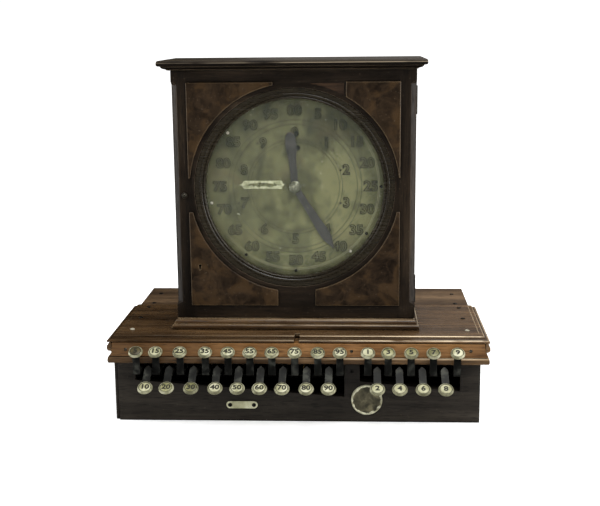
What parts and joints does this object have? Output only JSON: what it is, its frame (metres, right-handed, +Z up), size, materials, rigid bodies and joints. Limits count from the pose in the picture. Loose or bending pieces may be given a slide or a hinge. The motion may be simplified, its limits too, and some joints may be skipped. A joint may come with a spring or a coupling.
{
  "type": "dial cash register",
  "caption": "Antique dial cash register: wooden case with a two-handed price dial and a door, on a low box with two rows of sprung price keys.",
  "frame": {"origin": "centre of the box's flat underside", "axes": "+X to the operator's right along the key rows, +Y away from the operator, +Z up"},
  "size_m": [0.431, 0.2888, 0.407],
  "materials": {
    "dark_walnut": "old shellac, worn satin",
    "black_walnut": "darkened, worn matte",
    "red_walnut": "worn varnish, scratched",
    "pale_rail": "worn varnish",
    "burl": "burl veneer, satin",
    "dark_steel": "browned steel",
    "bright_steel": "bright steel",
    "key_nickel": "worn nickel rim and cream label",
    "dial_metal": "tarnished silvered brass",
    "brass": "aged brass",
    "ivory": "cream enamel, stained",
    "medallion": "worn plated disc",
    "glass": "clear pane"
  },
  "bodies": {
    "cabinet": {"base_carcass": "black_walnut", "base_front": "black_walnut", "ledge_moulding": "dark_walnut", "front_rail": "pale_rail", "front_deck": "dark_walnut", "back_deck": "red_walnut", "plinth_moulding": "red_walnut", "case_carcass": "dark_walnut", "cornice": "dark_walnut", "dial_plate": "dial_metal", "name_bar": "ivory", "key_rod": "bright_steel", "key_spring_comb": "bright_steel", "medallion": "medallion", "number_plate": "ivory", "hinge_upper": "dark_steel", "hinge_lower": "dark_steel"},
    "door": {"door_frame": "dark_walnut", "spandrel_ul": "burl", "spandrel_ur": "burl", "spandrel_ll": "burl", "spandrel_lr": "burl", "bezel_ring": "black_walnut", "door_glass": "glass", "door_lock": "dark_steel"},
    "door_button": {"door_button": "dark_steel"},
    "cents_bail": {"cents_bail": "dark_steel"},
    "dollars_bail": {"dollars_bail": "dark_steel"},
    "cents_rack": {"cents_rack": "brass"},
    "dollars_rack": {"dollars_rack": "brass"},
    "cents_hand": {"cents_hand": "dark_steel"},
    "dollars_hand": {"dollars_hand": "dark_steel"},
    "cents_key_05": {"cents_key_05": "key_nickel"},
    "cents_key_15": {"cents_key_15": "key_nickel"},
    "cents_key_25": {"cents_key_25": "key_nickel"},
    "cents_key_35": {"cents_key_35": "key_nickel"},
    "cents_key_45": {"cents_key_45": "key_nickel"},
    "cents_key_55": {"cents_key_55": "key_nickel"},
    "cents_key_65": {"cents_key_65": "key_nickel"},
    "cents_key_75": {"cents_key_75": "key_nickel"},
    "cents_key_85": {"cents_key_85": "key_nickel"},
    "cents_key_95": {"cents_key_95": "key_nickel"},
    "cents_key_10": {"cents_key_10": "key_nickel"},
    "cents_key_20": {"cents_key_20": "key_nickel"},
    "cents_key_30": {"cents_key_30": "key_nickel"},
    "cents_key_40": {"cents_key_40": "key_nickel"},
    "cents_key_50": {"cents_key_50": "key_nickel"},
    "cents_key_60": {"cents_key_60": "key_nickel"},
    "cents_key_70": {"cents_key_70": "key_nickel"},
    "cents_key_80": {"cents_key_80": "key_nickel"},
    "cents_key_90": {"cents_key_90": "key_nickel"},
    "dollars_key_1": {"dollars_key_1": "key_nickel"},
    "dollars_key_3": {"dollars_key_3": "key_nickel"},
    "dollars_key_5": {"dollars_key_5": "key_nickel"},
    "dollars_key_7": {"dollars_key_7": "key_nickel"},
    "dollars_key_9": {"dollars_key_9": "key_nickel"},
    "dollars_key_2": {"dollars_key_2": "key_nickel"},
    "dollars_key_4": {"dollars_key_4": "key_nickel"},
    "dollars_key_6": {"dollars_key_6": "key_nickel"},
    "dollars_key_8": {"dollars_key_8": "key_nickel"}
  },
  "joints": [
    {"name": "door_hinge", "type": "hinge", "parent": "cabinet", "child": "door", "pos_m": [0.1333, -0.0644, 0.2544], "axis": [0, 0, 1], "range_deg": [0, 110]},
    {"name": "door_button_push", "type": "slide", "parent": "door", "child": "door_button", "axis": [0, 1, 0], "range_m": [0, 0.0015], "stiffness_N_per_m": 300, "springref_m": -0.001},
    {"name": "cents_bail_rock", "type": "hinge", "parent": "cabinet", "child": "cents_bail", "pos_m": [-0.067, 0.08725, 0.063], "axis": [1, 0, 0], "range_deg": [-3.77, 4.94]},
    {"name": "dollars_bail_rock", "type": "hinge", "parent": "cabinet", "child": "dollars_bail", "pos_m": [0.0965, 0.08725, 0.063], "axis": [1, 0, 0], "range_deg": [0, 6.42]},
    {"name": "cents_rack_slide", "type": "slide", "parent": "cabinet", "child": "cents_rack", "axis": [0, 0, 1], "range_m": [-0.0112, 0.0086]},
    {"name": "dollars_rack_slide", "type": "slide", "parent": "cabinet", "child": "dollars_rack", "axis": [0, 0, 1], "range_m": [-0.016, 0]},
    {"name": "cents_hand_turn", "type": "hinge", "parent": "cabinet", "child": "cents_hand", "pos_m": [-0.0036, -0.06395, 0.263], "axis": [0, 1, 0], "range_deg": [-149, 195]},
    {"name": "dollars_hand_turn", "type": "hinge", "parent": "cabinet", "child": "dollars_hand", "pos_m": [-0.0036, -0.06395, 0.263], "axis": [0, 1, 0], "range_deg": [0, 325]},
    {"name": "cents_key_05_press", "type": "hinge", "parent": "cabinet", "child": "cents_key_05", "pos_m": [-0.1801, 0.08725, 0.063], "axis": [1, 0, 0], "range_deg": [0, 3.72], "stiffness_Nm_per_rad": 1.5, "springref_deg": -6.88, "deforming": ["key_spring_comb"]},
    {"name": "cents_key_15_press", "type": "hinge", "parent": "cabinet", "child": "cents_key_15", "pos_m": [-0.1578, 0.08725, 0.063], "axis": [1, 0, 0], "range_deg": [0, 4.2], "stiffness_Nm_per_rad": 1.5, "springref_deg": -6.88, "deforming": ["key_spring_comb"]},
    {"name": "cents_key_25_press", "type": "hinge", "parent": "cabinet", "child": "cents_key_25", "pos_m": [-0.13052, 0.08725, 0.063], "axis": [1, 0, 0], "range_deg": [0, 4.8], "stiffness_Nm_per_rad": 1.5, "springref_deg": -6.88, "deforming": ["key_spring_comb"]},
    {"name": "cents_key_35_press", "type": "hinge", "parent": "cabinet", "child": "cents_key_35", "pos_m": [-0.102, 0.08725, 0.063], "axis": [1, 0, 0], "range_deg": [0, 5.42], "stiffness_Nm_per_rad": 1.5, "springref_deg": -6.88, "deforming": ["key_spring_comb"]},
    {"name": "cents_key_45_press", "type": "hinge", "parent": "cabinet", "child": "cents_key_45", "pos_m": [-0.07657, 0.08725, 0.063], "axis": [1, 0, 0], "range_deg": [0, 5.98], "stiffness_Nm_per_rad": 1.5, "springref_deg": -6.88, "deforming": ["key_spring_comb"]},
    {"name": "cents_key_55_press", "type": "hinge", "parent": "cabinet", "child": "cents_key_55", "pos_m": [-0.05207, 0.08725, 0.063], "axis": [1, 0, 0], "range_deg": [0, 6.51], "stiffness_Nm_per_rad": 1.5, "springref_deg": -6.88, "deforming": ["key_spring_comb"]},
    {"name": "cents_key_65_press", "type": "hinge", "parent": "cabinet", "child": "cents_key_65", "pos_m": [-0.02757, 0.08725, 0.063], "axis": [1, 0, 0], "range_deg": [0, 7.05], "stiffness_Nm_per_rad": 1.5, "springref_deg": -6.88, "deforming": ["key_spring_comb"]},
    {"name": "cents_key_75_press", "type": "hinge", "parent": "cabinet", "child": "cents_key_75", "pos_m": [-0.002, 0.08725, 0.063], "axis": [1, 0, 0], "range_deg": [0, 7.61], "stiffness_Nm_per_rad": 1.5, "springref_deg": -6.88, "deforming": ["key_spring_comb"]},
    {"name": "cents_key_85_press", "type": "hinge", "parent": "cabinet", "child": "cents_key_85", "pos_m": [0.02373, 0.08725, 0.063], "axis": [1, 0, 0], "range_deg": [0, 8.18], "stiffness_Nm_per_rad": 1.5, "springref_deg": -6.88, "deforming": ["key_spring_comb"]},
    {"name": "cents_key_95_press", "type": "hinge", "parent": "cabinet", "child": "cents_key_95", "pos_m": [0.04823, 0.08725, 0.063], "axis": [1, 0, 0], "range_deg": [0, 8.72], "stiffness_Nm_per_rad": 1.5, "springref_deg": -6.88, "deforming": ["key_spring_comb"]},
    {"name": "cents_key_10_press", "type": "hinge", "parent": "cabinet", "child": "cents_key_10", "pos_m": [-0.1664, 0.08725, 0.063], "axis": [1, 0, 0], "range_deg": [0, 4.01], "stiffness_Nm_per_rad": 1.5, "springref_deg": -6.88, "deforming": ["key_spring_comb"]},
    {"name": "cents_key_20_press", "type": "hinge", "parent": "cabinet", "child": "cents_key_20", "pos_m": [-0.14278, 0.08725, 0.063], "axis": [1, 0, 0], "range_deg": [0, 4.53], "stiffness_Nm_per_rad": 1.5, "springref_deg": -6.88, "deforming": ["key_spring_comb"]},
    {"name": "cents_key_30_press", "type": "hinge", "parent": "cabinet", "child": "cents_key_30", "pos_m": [-0.1154, 0.08725, 0.063], "axis": [1, 0, 0], "range_deg": [0, 5.13], "stiffness_Nm_per_rad": 1.5, "springref_deg": -6.88, "deforming": ["key_spring_comb"]},
    {"name": "cents_key_40_press", "type": "hinge", "parent": "cabinet", "child": "cents_key_40", "pos_m": [-0.08883, 0.08725, 0.063], "axis": [1, 0, 0], "range_deg": [0, 5.71], "stiffness_Nm_per_rad": 1.5, "springref_deg": -6.88, "deforming": ["key_spring_comb"]},
    {"name": "cents_key_50_press", "type": "hinge", "parent": "cabinet", "child": "cents_key_50", "pos_m": [-0.06433, 0.08725, 0.063], "axis": [1, 0, 0], "range_deg": [0, 6.24], "stiffness_Nm_per_rad": 1.5, "springref_deg": -6.88, "deforming": ["key_spring_comb"]},
    {"name": "cents_key_60_press", "type": "hinge", "parent": "cabinet", "child": "cents_key_60", "pos_m": [-0.03983, 0.08725, 0.063], "axis": [1, 0, 0], "range_deg": [0, 6.78], "stiffness_Nm_per_rad": 1.5, "springref_deg": -6.88, "deforming": ["key_spring_comb"]},
    {"name": "cents_key_70_press", "type": "hinge", "parent": "cabinet", "child": "cents_key_70", "pos_m": [-0.0151, 0.08725, 0.063], "axis": [1, 0, 0], "range_deg": [0, 7.32], "stiffness_Nm_per_rad": 1.5, "springref_deg": -6.88, "deforming": ["key_spring_comb"]},
    {"name": "cents_key_80_press", "type": "hinge", "parent": "cabinet", "child": "cents_key_80", "pos_m": [0.01147, 0.08725, 0.063], "axis": [1, 0, 0], "range_deg": [0, 7.91], "stiffness_Nm_per_rad": 1.5, "springref_deg": -6.88, "deforming": ["key_spring_comb"]},
    {"name": "cents_key_90_press", "type": "hinge", "parent": "cabinet", "child": "cents_key_90", "pos_m": [0.03597, 0.08725, 0.063], "axis": [1, 0, 0], "range_deg": [0, 8.45], "stiffness_Nm_per_rad": 1.5, "springref_deg": -6.88, "deforming": ["key_spring_comb"]},
    {"name": "dollars_key_1_press", "type": "hinge", "parent": "cabinet", "child": "dollars_key_1", "pos_m": [0.0793, 0.08725, 0.063], "axis": [1, 0, 0], "range_deg": [0, 3.83], "stiffness_Nm_per_rad": 1.5, "springref_deg": -6.88, "deforming": ["key_spring_comb"]},
    {"name": "dollars_key_3_press", "type": "hinge", "parent": "cabinet", "child": "dollars_key_3", "pos_m": [0.10175, 0.08725, 0.063], "axis": [1, 0, 0], "range_deg": [0, 4.43], "stiffness_Nm_per_rad": 1.5, "springref_deg": -6.88, "deforming": ["key_spring_comb"]},
    {"name": "dollars_key_5_press", "type": "hinge", "parent": "cabinet", "child": "dollars_key_5", "pos_m": [0.1271, 0.08725, 0.063], "axis": [1, 0, 0], "range_deg": [0, 5.11], "stiffness_Nm_per_rad": 1.5, "springref_deg": -6.88, "deforming": ["key_spring_comb"]},
    {"name": "dollars_key_7_press", "type": "hinge", "parent": "cabinet", "child": "dollars_key_7", "pos_m": [0.1516, 0.08725, 0.063], "axis": [1, 0, 0], "range_deg": [0, 5.77], "stiffness_Nm_per_rad": 1.5, "springref_deg": -6.88, "deforming": ["key_spring_comb"]},
    {"name": "dollars_key_9_press", "type": "hinge", "parent": "cabinet", "child": "dollars_key_9", "pos_m": [0.1781, 0.08725, 0.063], "axis": [1, 0, 0], "range_deg": [0, 6.48], "stiffness_Nm_per_rad": 1.5, "springref_deg": -6.88, "deforming": ["key_spring_comb"]},
    {"name": "dollars_key_2_press", "type": "hinge", "parent": "cabinet", "child": "dollars_key_2", "pos_m": [0.0895, 0.08725, 0.063], "axis": [1, 0, 0], "range_deg": [0, 4.11], "stiffness_Nm_per_rad": 1.5, "springref_deg": -6.88, "deforming": ["key_spring_comb"]},
    {"name": "dollars_key_4_press", "type": "hinge", "parent": "cabinet", "child": "dollars_key_4", "pos_m": [0.114, 0.08725, 0.063], "axis": [1, 0, 0], "range_deg": [0, 4.76], "stiffness_Nm_per_rad": 1.5, "springref_deg": -6.88, "deforming": ["key_spring_comb"]},
    {"name": "dollars_key_6_press", "type": "hinge", "parent": "cabinet", "child": "dollars_key_6", "pos_m": [0.13935, 0.08725, 0.063], "axis": [1, 0, 0], "range_deg": [0, 5.44], "stiffness_Nm_per_rad": 1.5, "springref_deg": -6.88, "deforming": ["key_spring_comb"]},
    {"name": "dollars_key_8_press", "type": "hinge", "parent": "cabinet", "child": "dollars_key_8", "pos_m": [0.16385, 0.08725, 0.063], "axis": [1, 0, 0], "range_deg": [0, 6.1], "stiffness_Nm_per_rad": 1.5, "springref_deg": -6.88, "deforming": ["key_spring_comb"]}
  ],
  "couplings": [
    {"joint": "cents_rack_slide", "follows": "cents_bail_rock", "m_per_rad": -0.12761},
    {"joint": "cents_hand_turn", "follows": "cents_bail_rock", "ratio": 39.265},
    {"joint": "dollars_rack_slide", "follows": "dollars_bail_rock", "m_per_rad": -0.14131},
    {"joint": "dollars_hand_turn", "follows": "dollars_bail_rock", "ratio": 50.467}
  ]
}
